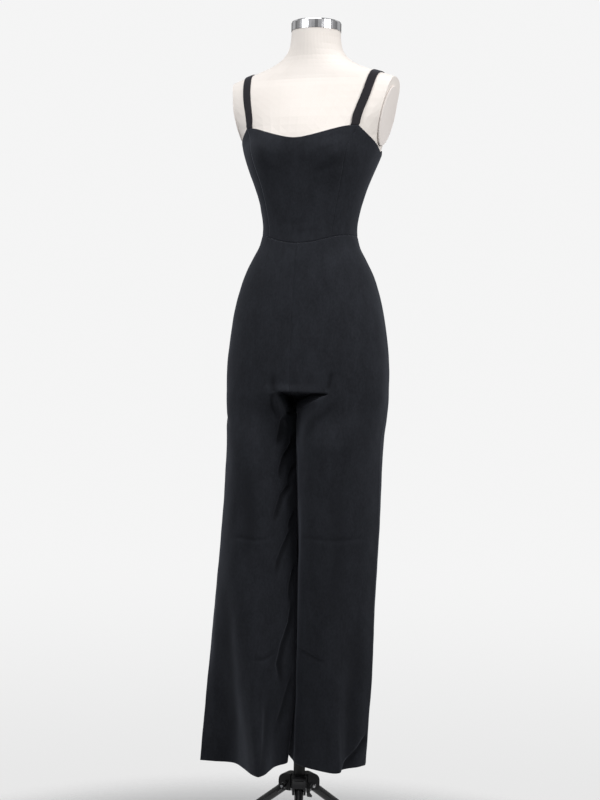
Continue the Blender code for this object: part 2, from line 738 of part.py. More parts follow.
def rod(radius, low, high):
    return ((0, low), (radius, low), (radius, high), (0, high))


def build_leg(number, hinge):
    """A folding leg, its rubber foot and its hinge bolt, all about the bolt's axis."""
    slope = math.radians(LEG_SLOPE)
    to_floor = BOLT_HEIGHT / math.sin(slope)
    tube_end = (BOLT_HEIGHT - 0.004 - TUBE_RADIUS * math.cos(slope)) / math.sin(slope)
    bore = TUBE_RADIUS - TUBE_WALL
    tube = turned(f"leg_tube_{number}", (
        (bore, -0.009), (TUBE_RADIUS, -0.009), (TUBE_RADIUS, tube_end), (bore, tube_end)),
        black_steel())
    turn_mesh(tube, 90 + LEG_SLOPE, "Y")
    drill = turned(f"leg_drill_{number}", rod(BOLT_RADIUS + SEAM_GAP, -0.02, 0.02), black_steel(), 16)
    turn_mesh(drill, 90, "X")
    boolean(placed(tube, hinge), placed(drill, hinge))

    boot_start, boot_end = to_floor - FOOT_LONG, to_floor + 0.022
    inside = TUBE_RADIUS + SEAM_GAP
    boot = turned(f"foot_{number}", (
        (inside, boot_start), (FOOT_RADIUS - 0.001, boot_start), (FOOT_RADIUS, boot_start + 0.002),
        (FOOT_RADIUS, boot_end), (0, boot_end), (0, tube_end + SEAM_GAP),
        (inside, tube_end + SEAM_GAP)), black_rubber())
    turn_mesh(boot, 90 + LEG_SLOPE, "Y")
    floor = extruded(f"floor_cut_{number}", ((0.2, -0.06), (0.6, -0.06), (0.6, 0), (0.2, 0)),
                     0.05, black_rubber())
    boolean(placed(boot, hinge), placed(floor, hinge, (0, 0, -BOLT_HEIGHT)))

    cheek = LUG_WIDE / 2 + SEAM_GAP
    washer, nut = 0.0010, 0.0080
    tip = cheek + washer + nut + 0.0025
    bolt = turned(f"hinge_bolt_{number}", (
        (0, -cheek - 0.0035), (0.0022, -cheek - 0.0031), (0.0042, -cheek - 0.0016),
        (0.0048, -cheek), (BOLT_RADIUS, -cheek), (BOLT_RADIUS, tip - 0.0008),
        (BOLT_RADIUS - 0.0008, tip), (0, tip)), zinc(), 16)
    hole = BOLT_RADIUS + SEAM_GAP
    ring = turned(f"washer_{number}", (
        (hole, cheek), (0.0068, cheek), (0.0068, cheek + washer), (hole, cheek + washer)), zinc())
    low, high = cheek + washer + SEAM_GAP, cheek + washer + SEAM_GAP + nut
    wing_nut = turned(f"wing_nut_{number}", (
        (hole, low), (0.0062, low), (0.0055, high), (hole, high)), black_plastic())
    wings = extruded(f"wing_shape_{number}", (
        (-0.0150, low + 0.0020), (-0.0125, low + 0.0006), (0.0125, low + 0.0006),
        (0.0150, low + 0.0020), (0.0162, high + 0.0035), (0.0135, high + 0.0045),
        (0.0062, high - 0.0010), (-0.0062, high - 0.0010), (-0.0135, high + 0.0045),
        (-0.0162, high + 0.0035)), 0.0021, black_plastic())
    core = turned(f"wing_core_{number}", rod(hole, low - 0.01, high + 0.01), black_plastic())
    for piece in (bolt, ring, wing_nut, wings, core):
        turn_mesh(piece, -90, "X")
        turn_mesh(piece, 90 - LEG_SLOPE, "Y")
        placed(piece, hinge)
    boolean(wing_nut, wings, "UNION")
    boolean(wing_nut, core)


def foot_edge(turn, reach, along, across):
    """How far a foot's oval sole reaches in the +X direction of a turned frame."""
    return reach * math.cos(turn) + math.hypot(along * math.cos(turn), across * math.sin(turn))


def pole_place(turns):
    """Set the pole so that the origin is the middle of the stand's box on the floor."""
    slope = math.radians(LEG_SLOPE)
    reach = BOLT_REACH + BOLT_HEIGHT / math.tan(slope)
    along, across = FOOT_RADIUS / math.sin(slope), FOOT_RADIUS
    quarter = math.pi / 2

    def middle(shift):
        high = max(foot_edge(turn - shift, reach, along, across) for turn in turns)
        low = max(foot_edge(turn - shift - math.pi, reach, along, across) for turn in turns)
        return (high - low) / 2

    return (-middle(0), -middle(quarter), 0)


def main():
    for old in list(bpy.data.objects):
        bpy.data.objects.remove(old)
    turns = [math.radians(FRONT_LEG_TURN - 90 + 120 * i) for i in range(3)]
    root = empty("pole_axis", location=pole_place(turns))
    build_bodice()
    build_trousers()
    for made in bpy.data.objects:
        if made.type == "MESH":
            made.parent = root
    surface = build_form(root)
    build_strap("strap_left", 1, surface, root)
    build_strap("strap_right", -1, surface, root)
    build_pole(root)
    build_hub(root, turns)
    for number, turn in enumerate(turns, 1):
        place = Matrix.Rotation(turn, 4, "Z") @ Vector((BOLT_REACH, 0, BOLT_HEIGHT))
        build_leg(number, empty(f"hinge_{number}", root, place, turn))


main()
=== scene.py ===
"""Looks of a black sleeveless wide-leg jumpsuit on a dress form with a folding tripod stand."""
import math

import bmesh
import bpy
import numpy as np
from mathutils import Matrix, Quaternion, Vector


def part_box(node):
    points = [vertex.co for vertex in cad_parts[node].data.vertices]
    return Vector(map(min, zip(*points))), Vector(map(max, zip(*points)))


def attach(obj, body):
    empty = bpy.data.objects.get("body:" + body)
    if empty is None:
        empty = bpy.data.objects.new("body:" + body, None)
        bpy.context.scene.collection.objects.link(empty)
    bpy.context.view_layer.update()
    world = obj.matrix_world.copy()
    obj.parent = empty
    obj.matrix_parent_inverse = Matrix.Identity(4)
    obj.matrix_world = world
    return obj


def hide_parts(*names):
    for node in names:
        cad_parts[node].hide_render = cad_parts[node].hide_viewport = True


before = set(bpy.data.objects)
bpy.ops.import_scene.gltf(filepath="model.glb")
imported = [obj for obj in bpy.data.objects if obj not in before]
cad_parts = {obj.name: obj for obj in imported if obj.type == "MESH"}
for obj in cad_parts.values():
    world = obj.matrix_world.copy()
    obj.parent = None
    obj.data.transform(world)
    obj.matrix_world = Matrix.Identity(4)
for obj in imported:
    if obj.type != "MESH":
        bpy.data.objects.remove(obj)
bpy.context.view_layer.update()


# Pole ------------------------------------------------------------------------------------
# A steel tube that stands in the tripod's hub and carries the form.  It is powder coated
# in a near-black satin that shows a fine orange-peel and a few rubbed streaks.
class Field:
    """A value or colour that varies over a surface, written with ordinary operators."""

    def __init__(self, tree, socket):
        self.tree = tree
        self.socket = socket

    def node(self, kind, settings=None, **inputs):
        """Add a node: its settings first, then the values or links of its sockets."""
        made = self.tree.nodes.new(kind)
        for name, value in (settings or {}).items():
            setattr(made, name, value)
        for name, value in inputs.items():
            number = name.removeprefix("in_")
            socket = made.inputs[int(number)] if number.isdigit() else made.inputs[name.replace("_", " ")]
            if isinstance(value, Field):
                self.tree.links.new(value.socket, socket)
            else:
                socket.default_value = value
        return made

    def maths(self, operation, first, second=0.0):
        made = self.node("ShaderNodeMath", dict(operation=operation), in_0=first, in_1=second)
        return Field(self.tree, made.outputs[0])

    def __add__(self, other):
        return self.maths("ADD", self, other)

    __radd__ = __add__

    def __sub__(self, other):
        return self.maths("SUBTRACT", self, other)

    def __rsub__(self, other):
        return self.maths("SUBTRACT", other, self)

    def __mul__(self, other):
        return self.maths("MULTIPLY", self, other)

    __rmul__ = __mul__

    def between(self, low, high):
        """0 below low, 1 above high and a soft step between."""
        made = self.node("ShaderNodeMapRange", dict(interpolation_type="SMOOTHSTEP"),
                         Value=self, From_Min=low, From_Max=high)
        return Field(self.tree, made.outputs[0])

    def noise(self, place, scale, detail=3.0, roughness=0.5):
        made = self.node("ShaderNodeTexNoise", Vector=place, Scale=scale, Detail=detail,
                         Roughness=roughness)
        return Field(self.tree, made.outputs[0])

    def stretched(self, scale):
        """This vector with each axis scaled."""
        made = self.node("ShaderNodeVectorMath", dict(operation="MULTIPLY"), in_0=self, in_1=scale)
        return Field(self.tree, made.outputs[0])

    def colours(self, low, high):
        """Run from one colour to another as this value runs from 0 to 1."""
        made = self.node("ShaderNodeMix", dict(data_type="RGBA"), in_0=self,
                         in_6=(*low, 1.0), in_7=(*high, 1.0))
        return Field(self.tree, made.outputs[2])

    def bump(self, distance, strength):
        """A normal from this height, which stands up to distance in metres."""
        made = self.node("ShaderNodeBump", Height=self, Distance=distance, Strength=strength)
        return Field(self.tree, made.outputs[0])


def finish_named(name, **fixed):
    """A new material: its place field, and a function that links fields to its shader."""
    made = bpy.data.materials.new(name)
    made.use_nodes = True
    shader = made.node_tree.nodes["Principled BSDF"]
    for socket, value in fixed.items():
        shader.inputs[socket.replace("_", " ")].default_value = value
    place = made.node_tree.nodes.new("ShaderNodeTexCoord")

    def link(**fields):
        for socket, field in fields.items():
            made.node_tree.links.new(field.socket, shader.inputs[socket.replace("_", " ")])
        return made

    return Field(made.node_tree, place.outputs["Object"]), link


def paint_nodes(finish, *names):
    """Give carried-over nodes their finish, in every slot they have."""
    for name in names:
        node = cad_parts[name]
        if not node.material_slots:
            node.data.materials.append(finish)
        for place in node.material_slots:
            place.link = "OBJECT"
            place.material = finish


def black_powder_coat(name, roughness, gloss):
    place, link = finish_named(name, Specular_IOR_Level=gloss, Coat_Weight=0.25, Coat_Roughness=0.18)
    wear = place.noise(place.stretched((1.0, 1.0, 0.12)), 38.0, 4.0, 0.6)
    peel = place.noise(place, 900.0, 2.0)
    rubbed = wear.between(0.56, 0.72)
    return link(Base_Color=rubbed.colours((0.008, 0.008, 0.009), (0.022, 0.022, 0.024)),
                Roughness=roughness + 0.16 * rubbed + 0.08 * peel,
                Normal=(0.7 * peel + 0.3 * wear).bump(0.0003, 0.35))


paint_nodes(black_powder_coat("pole_powder_coat", 0.34, 0.45), "pole")

# Hub -------------------------------------------------------------------------------------
# One injection-moulded block of glass-filled nylon with three forked lugs.  It has a
# fine spark-eroded grain, and its raised corners are a little polished by handling.
HUB_GRAIN = 1400.0
place, link = finish_named("hub_nylon", Specular_IOR_Level=0.42)
grain = place.noise(place, HUB_GRAIN, 2.0, 0.7)
cloud = place.noise(place, 30.0, 3.0)
paint_nodes(link(Base_Color=cloud.colours((0.010, 0.010, 0.011), (0.019, 0.019, 0.021)),
                 Roughness=0.42 + 0.2 * grain,
                 Normal=grain.bump(0.0002, 0.5)), "hub")

# Folding legs and feet ---------------------------------------------------------------------
# Three steel tubes in the same coating, glossier than the pole, each pushed into a
# moulded rubber foot that is ground flat on the floor.
paint_nodes(black_powder_coat("leg_gloss_coat", 0.20, 0.55), "leg_tube_1", "leg_tube_2", "leg_tube_3")

place, link = finish_named("foot_rubber", Specular_IOR_Level=0.30)
dust = place.noise(place, 55.0, 5.0, 0.65)
tooth = place.noise(place, 1100.0, 3.0)
scuffed = dust.between(0.52, 0.75)
paint_nodes(link(Base_Color=scuffed.colours((0.011, 0.011, 0.011), (0.040, 0.039, 0.037)),
                 Roughness=0.78 + 0.15 * scuffed,
                 Normal=(tooth + 0.5 * dust).bump(0.0004, 0.5)), "foot_1", "foot_2", "foot_3")

# Hinge hardware ---------------------------------------------------------------------------
# A domed zinc bolt and washer on each leg, done up by a moulded wing nut.
place, link = finish_named("bright_zinc", Metallic=1.0)
streak = place.noise(place.stretched((1.0, 1.0, 6.0)), 260.0, 4.0)
bloom = place.noise(place, 90.0, 3.0).between(0.45, 0.70)
paint_nodes(link(Base_Color=bloom.colours((0.62, 0.62, 0.63), (0.50, 0.51, 0.54)),
                 Roughness=0.20 + 0.20 * bloom + 0.08 * streak,
                 Normal=streak.bump(0.00015, 0.3)),
            *(f"{kind}_{number}" for kind in ("hinge_bolt", "washer") for number in (1, 2, 3)))

place, link = finish_named("wing_nut_nylon", Specular_IOR_Level=0.42)
grain = place.noise(place, HUB_GRAIN, 2.0, 0.7)
paint_nodes(link(Base_Color=grain.colours((0.011, 0.011, 0.012), (0.017, 0.017, 0.019)),
                 Roughness=0.36 + 0.2 * grain,
                 Normal=grain.bump(0.0002, 0.4)), "wing_nut_1", "wing_nut_2", "wing_nut_3")

# Dress form --------------------------------------------------------------------------------
# A hollow moulded torso under a stretched cream jersey cover.  The knit is fine, a
# little fuzzy and slightly uneven in tone where hands and pins have touched it.
KNIT_PITCH = 0.0011
STITCH = 2 * math.pi / KNIT_PITCH


def knitted(name, shade, soiled):
    place, link = finish_named(name, Roughness=0.92, Specular_IOR_Level=0.22,
                               Sheen_Weight=0.22, Sheen_Roughness=0.55)
    tone = place.noise(place, 9.0, 4.0, 0.55).between(0.35, 0.75)
    fuzz = place.noise(place, 1500.0, 2.0, 0.6)
    apart = place.node("ShaderNodeSeparateXYZ", Vector=place)
    across, back, up = (Field(place.tree, socket) for socket in apart.outputs)
    wale = place.maths("SINE", (across + 0.8 * back) * STITCH)
    course = place.maths("SINE", up * STITCH)
    loops = 0.5 + 0.25 * wale + 0.25 * (wale * course)
    slub = place.noise(place.stretched((1.0, 1.0, 14.0)), 45.0, 2.0)
    return link(Base_Color=tone.colours(shade, soiled),
                Normal=(0.5 * loops + 0.35 * fuzz + 0.5 * slub).bump(0.00035, 0.35))


paint_nodes(knitted("form_jersey", (0.805, 0.752, 0.708), (0.772, 0.718, 0.671)), "form_torso")

# Arm plates --------------------------------------------------------------------------------
# Flat ovals of board in the same jersey, glued over the arm cuts, with a rolled edge.
paint_nodes(knitted("plate_jersey", (0.80, 0.745, 0.71), (0.765, 0.705, 0.67)),
            "form_arm_plate_left", "form_arm_plate_right")

# Neck cap ----------------------------------------------------------------------------------
# A spun steel lid with a rolled rim, chrome plated and polished, with hairline swirls.
place, link = finish_named("polished_chrome", Metallic=1.0)
swirl = place.noise(place.stretched((1.0, 1.0, 22.0)), 210.0, 5.0, 0.6)
smear = place.noise(place, 60.0, 3.0).between(0.40, 0.72)
paint_nodes(link(Base_Color=smear.colours((0.80, 0.80, 0.82), (0.72, 0.72, 0.74)),
                 Roughness=0.07 + 0.09 * smear + 0.05 * swirl,
                 Normal=swirl.bump(0.0001, 0.18)), "neck_cap")

# Trousers ----------------------------------------------------------------------------------
# Four long panels of black polyester crepe, two to a leg, sewn at the side seams, the
# inseams and the centre seam, and hemmed.  They hang from the waist seam over the hips.
CREPE_THICK = 0.0009
HEM_DEEP = 0.026             # the hem is turned up and blind stitched here
HEM_PLY = 0.0010
PAINTED_SHADE_FULL_DEPTH = 0.0046         # a crease this deep gets the crepe's fullest painted shade
SEAM_SINK = 0.00018          # a pressed seam lies this far below the cloth beside it
SEAM_SOFT = 0.0022
SEAM_CLOSE = 0.00014         # each panel reaches this far into the gap between the solids
WEAVE_STEP = 0.0035          # spacing of the finished mesh
RIM_FACE = 0.0022            # a face of the solid's rim has an edge shorter than this
TROUSER_GRID = (26, 13)      # rows and columns of the solid's own outer skin
pole_low, pole_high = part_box("pole")
pole_x, pole_y = (pole_low.x + pole_high.x) / 2, (pole_low.y + pole_high.y) / 2


def outer_skin(name, rows, columns):
    """The solid's outer skin as a grid of points, top row first, side seam first."""
    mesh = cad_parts[name].data
    raw = np.array([vertex.co for vertex in mesh.vertices])
    mesh.calc_loop_triangles()
    corners = np.array([tri.vertices for tri in mesh.loop_triangles])
    _, first, same = np.unique(np.round(raw, 5), axis=0, return_index=True, return_inverse=True)
    points = raw[first]
    corners = same.reshape(-1)[corners]
    edge = [np.linalg.norm(points[corners[:, i]] - points[corners[:, i - 1]], axis=1) for i in range(3)]
    corners = corners[np.min(edge, axis=0) > RIM_FACE]
    beside = {}
    for tri in corners:
        for corner in tri:
            beside.setdefault(int(corner), set()).update(int(other) for other in tri if other != corner)
    skins = []
    left = set(beside)
    while left:
        reached = {min(left)}
        front = set(reached)
        while front:
            front = set().union(*(beside[corner] for corner in front)) - reached
            reached |= front
        left -= reached
        faces = [tri for tri in corners if int(tri[0]) in reached]
        area = sum(np.linalg.norm(np.cross(points[b] - points[a], points[c] - points[a]))
                   for a, b, c in faces)
        skins.append((area, faces))
    faces = max(skins, key=lambda skin: skin[0])[1]
    uses = {}
    for a, b, c in faces:
        for pair in ((a, b), (b, c), (c, a)):
            key = tuple(sorted((int(pair[0]), int(pair[1]))))
            uses[key] = uses.get(key, 0) + 1
    follow = {}
    for (a, b), count in uses.items():
        if count == 1:
            follow.setdefault(a, []).append(b)
            follow.setdefault(b, []).append(a)
    start = min(follow)
    loop = [start, follow[start][0]]
    while len(loop) < len(follow):
        loop.append(next(other for other in follow[loop[-1]] if other != loop[-2]))

    def turn(at):
        before, here, after = (points[loop[(at + step) % len(loop)]] for step in (-1, 0, 1))
        one, two = here - before, after - here
        return math.acos(np.clip(one @ two / np.linalg.norm(one) / np.linalg.norm(two), -1, 1))

    long, wide = rows - 1, columns - 1

    def turned(at):
        """How sharply the edge turns where a panel that starts here has its corners."""
        return sum(turn(spot) for spot in (at, at + wide, at + wide + long, at + 2 * wide + long))

    first_corner = max(range(len(loop)), key=lambda at: (turned(at), at))
    ring = loop[first_corner:] + loop[:first_corner]

    def steps_from(sources):
        steps = {corner: 0 for corner in sources}
        front = set(sources)
        while front:
            depth = max(steps.values()) + 1
            front = {other for corner in front for other in beside[corner] if other not in steps}
            steps.update({other: depth for other in front})
        return steps

    by_row = steps_from(ring[:wide + 1])
    by_column = steps_from([ring[0]] + ring[2 * wide + long:])
    grid = np.zeros((rows, columns, 3))
    for corner in by_row:
        grid[by_row[corner], by_column[corner]] = points[corner]
    if grid[0, :, 2].mean() < grid[-1, :, 2].mean():
        grid = grid[::-1]
    return grid


def smooth_resample(grid, counts):
    """A smooth curve through the grid's rows and then its columns, read at even steps."""
    for axis, count in enumerate(counts):
        grid = np.moveaxis(grid, axis, 0)
        step = np.linalg.norm(np.diff(grid, axis=0), axis=2).mean(axis=1)
        at = np.concatenate([[0.0], np.cumsum(step)])
        slope = np.gradient(grid, at, axis=0)
        want = np.linspace(0.0, at[-1], count)
        index = np.clip(np.searchsorted(at, want, side="right") - 1, 0, len(at) - 2)
        span = (at[index + 1] - at[index])[:, None, None]
        share = ((want - at[index])[:, None, None]) / span
        grid = ((2 * share ** 3 - 3 * share ** 2 + 1) * grid[index]
                + (share ** 3 - 2 * share ** 2 + share) * span * slope[index]
                + (3 * share ** 2 - 2 * share ** 3) * grid[index + 1]
                + (share ** 3 - share ** 2) * span * slope[index + 1])
        grid = np.moveaxis(grid, 0, axis)
    return grid


def woven(grid, step):
    """The grid read again so that its points are about one step apart both ways."""
    long = np.linalg.norm(np.diff(grid, axis=0), axis=2).sum(axis=0).mean()
    wide = np.linalg.norm(np.diff(grid, axis=1), axis=2).sum(axis=1).mean()
    return smooth_resample(grid, (round(long / step) + 1, round(wide / step) + 1))


def unit_normals(grid):
    normals = np.cross(np.gradient(grid, axis=0), np.gradient(grid, axis=1))
    return normals / np.linalg.norm(normals, axis=2)[..., None]


def outward_normals(grid, middle):
    """Unit normals of a grid that point away from the middle line, given as x and y."""
    normals = unit_normals(grid)
    away = (normals[..., :2] * (grid[..., :2] - middle)).sum()
    return normals if away > 0 else -normals


def distance_to_line(flat, line):
    """How far each flat point is from a drawn line, its side of it, and how far along."""
    best = np.full(flat.shape[:2], 1e9)
    signed, along = np.zeros_like(best), np.zeros_like(best)
    line = np.array(line)
    lengths = np.linalg.norm(np.diff(line, axis=0), axis=1)
    total = lengths.sum()
    done = 0.0
    for start, end, length in zip(line, line[1:], lengths):
        way = (end - start) / length
        offset = flat - start
        run = np.clip(offset @ way, 0.0, length)
        off = offset - run[..., None] * way
        gap = np.linalg.norm(off, axis=2)
        closer = gap < best
        best = np.where(closer, gap, best)
        side = np.sign(offset[..., 0] * way[1] - offset[..., 1] * way[0])
        signed = np.where(closer, gap * side, signed)
        along = np.where(closer, (done + run) / total, along)
        done += length
    return signed, along


CREASE_FADE = 0.3            # share of a crease's length over which each end fades
RIDGE_OUT, RIDGE_WIDE = 2.6, 1.9         # in half widths of the trough
RIDGE_HIGH = 0.22            # as a share of the trough's depth


def crease_relief(flat, creases):
    """Outward movement made by soft troughs, each with a low ridge on one side.

    A crease is (depth, half width, ridge side, points), and it fades at both ends.
    """
    relief = np.zeros(flat.shape[:2])
    for depth, half_wide, ridge_side, line in creases:
        signed, along = distance_to_line(flat, line)
        ends = np.clip(np.minimum(along, 1 - along) / CREASE_FADE, 0.0, 1.0)
        fade = ends * ends * (3 - 2 * ends)
        trough_and_painted_shade = np.exp(-(signed / half_wide) ** 2)
        ridge = np.exp(-((signed - ridge_side * RIDGE_OUT * half_wide) / (RIDGE_WIDE * half_wide)) ** 2)
        relief += fade * depth * (RIDGE_HIGH * ridge - trough_and_painted_shade)
    return relief


def drift(grid):
    """The slow unevenness of hanging cloth, the same where two panels meet."""
    x, y, z = grid[..., 0], grid[..., 1], grid[..., 2]
    return (0.00055 * np.sin(31 * x + 9 * z + 1.1) * np.sin(17 * z - 23 * y + 0.4)
            + 0.00035 * np.sin(63 * x - 37 * y + 12 * z) * np.sin(41 * z + 2.0)
            + 0.00018 * np.sin(150 * x + 60 * y + 33 * z) * np.sin(95 * z + 70 * y))


def cloth_shell(name, outer, inward, thick, trough_and_painted_shade):
    """A closed thin wall from a grid, its inner side and rounded edges all round.

    Each point also keeps how deep in a crease it lies, as the attribute "crease", which paints shade into the
    cloth's colour there.
    """
    rows, columns = outer.shape[:2]
    shell = bmesh.new()
    inner = outer + inward * thick[..., None]
    front = [[shell.verts.new(outer[i, j]) for j in range(columns)] for i in range(rows)]
    behind = [[shell.verts.new(inner[i, j]) for j in range(columns)] for i in range(rows)]
    for i in range(rows - 1):
        for j in range(columns - 1):
            shell.faces.new((front[i][j], front[i + 1][j], front[i + 1][j + 1], front[i][j + 1]))
            shell.faces.new((behind[i][j], behind[i][j + 1], behind[i + 1][j + 1], behind[i + 1][j]))
    ring = ([(0, j) for j in range(columns)] + [(i, columns - 1) for i in range(1, rows)]
            + [(rows - 1, j) for j in range(columns - 2, -1, -1)] + [(i, 0) for i in range(rows - 2, 0, -1)])

    def turned_edge(i, j):
        """A point halfway through the cloth, pushed out past the edge to round it."""
        middle = (outer[i, j] + inner[i, j]) / 2
        near = outer[min(max(i, 1), rows - 2), min(max(j, 1), columns - 2)]
        out = outer[i, j] - near
        length = np.linalg.norm(out)
        return middle + out / max(length, 1e-9) * SEAM_CLOSE

    edge = [shell.verts.new(turned_edge(i, j)) for i, j in ring]
    for step, (i, j) in enumerate(ring):
        k, m = ring[(step + 1) % len(ring)]
        after = edge[(step + 1) % len(ring)]
        shell.faces.new((front[i][j], front[k][m], after, edge[step]))
        shell.faces.new((edge[step], after, behind[k][m], behind[i][j]))
    bmesh.ops.recalc_face_normals(shell, faces=shell.faces)
    mesh = bpy.data.meshes.new(name)
    shell.to_mesh(mesh)
    shell.free()
    # painted shade: how deep each point lies in a crease, read by the crepe's colour
    crease = mesh.attributes.new("crease", "FLOAT", "POINT")
    depth = np.concatenate([trough_and_painted_shade.ravel(), trough_and_painted_shade.ravel(), [trough_and_painted_shade[i, j] for i, j in ring]])
    crease.data.foreach_set("value", depth.astype(np.float32))
    mesh.shade_smooth()
    made = bpy.data.objects.new(name, mesh)
    bpy.context.scene.collection.objects.link(made)
    return made


def edge_distance(grid):
    """How far along the cloth each point is from the four edges: top, hem, first, last."""
    down = np.linalg.norm(np.diff(grid, axis=0), axis=2)
    across = np.linalg.norm(np.diff(grid, axis=1), axis=2)
    from_top = np.concatenate([np.zeros((1, grid.shape[1])), np.cumsum(down, axis=0)])
    from_first = np.concatenate([np.zeros((grid.shape[0], 1)), np.cumsum(across, axis=1)], axis=1)
    return from_top, from_top[-1] - from_top, from_first, from_first[:, -1:] - from_first


def sunk_seam(distance):
    return -SEAM_SINK * np.exp(-(distance / SEAM_SOFT) ** 2)


def held_flat(distance, reach=0.012):
    """Creases die out where a seam holds the cloth."""
    share = np.clip(distance / reach, 0.0, 1.0)
    return share * share * (3 - 2 * share)


def crepe_cloth(name, shade, light, roughness):
    place, link = finish_named(name, Specular_IOR_Level=0.18, Sheen_Weight=0.16,
                               Sheen_Roughness=0.45, Sheen_Tint=(0.78, 0.84, 1.0, 1.0))
    tone = place.noise(place.stretched((1.0, 1.0, 0.45)), 34.0, 5.0, 0.7).between(0.30, 0.72)
    pebble = place.noise(place.stretched((1.0, 1.0, 0.55)), 1250.0, 3.0, 0.65)
    yarn = place.noise(place.stretched((1.0, 1.0, 0.10)), 900.0, 2.0, 0.5)
    nap = place.noise(place, 180.0, 3.0, 0.6)
    thread = 0.6 * pebble + 0.4 * yarn
    mottle = place.noise(place.stretched((1.0, 1.0, 0.6)), 260.0, 4.0, 0.7).between(0.32, 0.70)
    # Painted shade: the colour is made darker where the "crease" attribute says the cloth lies deep in a
    # crease or groove.
    painted_crease_shade = place.node("ShaderNodeAttribute", dict(attribute_name="crease"))
    outside_painted_shade = 1 - 0.9 * Field(place.tree, painted_crease_shade.outputs["Fac"])
    tone_and_painted_shade = (0.40 * tone + 0.35 * mottle + 0.25 * thread) * outside_painted_shade
    return link(Base_Color=tone_and_painted_shade.colours(shade, light),
                Roughness=roughness + 0.10 * nap,
                Normal=(0.75 * thread + 0.25 * nap).bump(0.00045, 0.45))


crepe = crepe_cloth("black_crepe", (0.0062, 0.0069, 0.0094), (0.0186, 0.0204, 0.0262), 0.84)


def ride_cloth(made, node, finish, cut):
    """Hang a finished panel on the form's body, in place of its plain solid."""
    made.data.materials.append(finish)
    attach(made, "dressed_form")
    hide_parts(node)


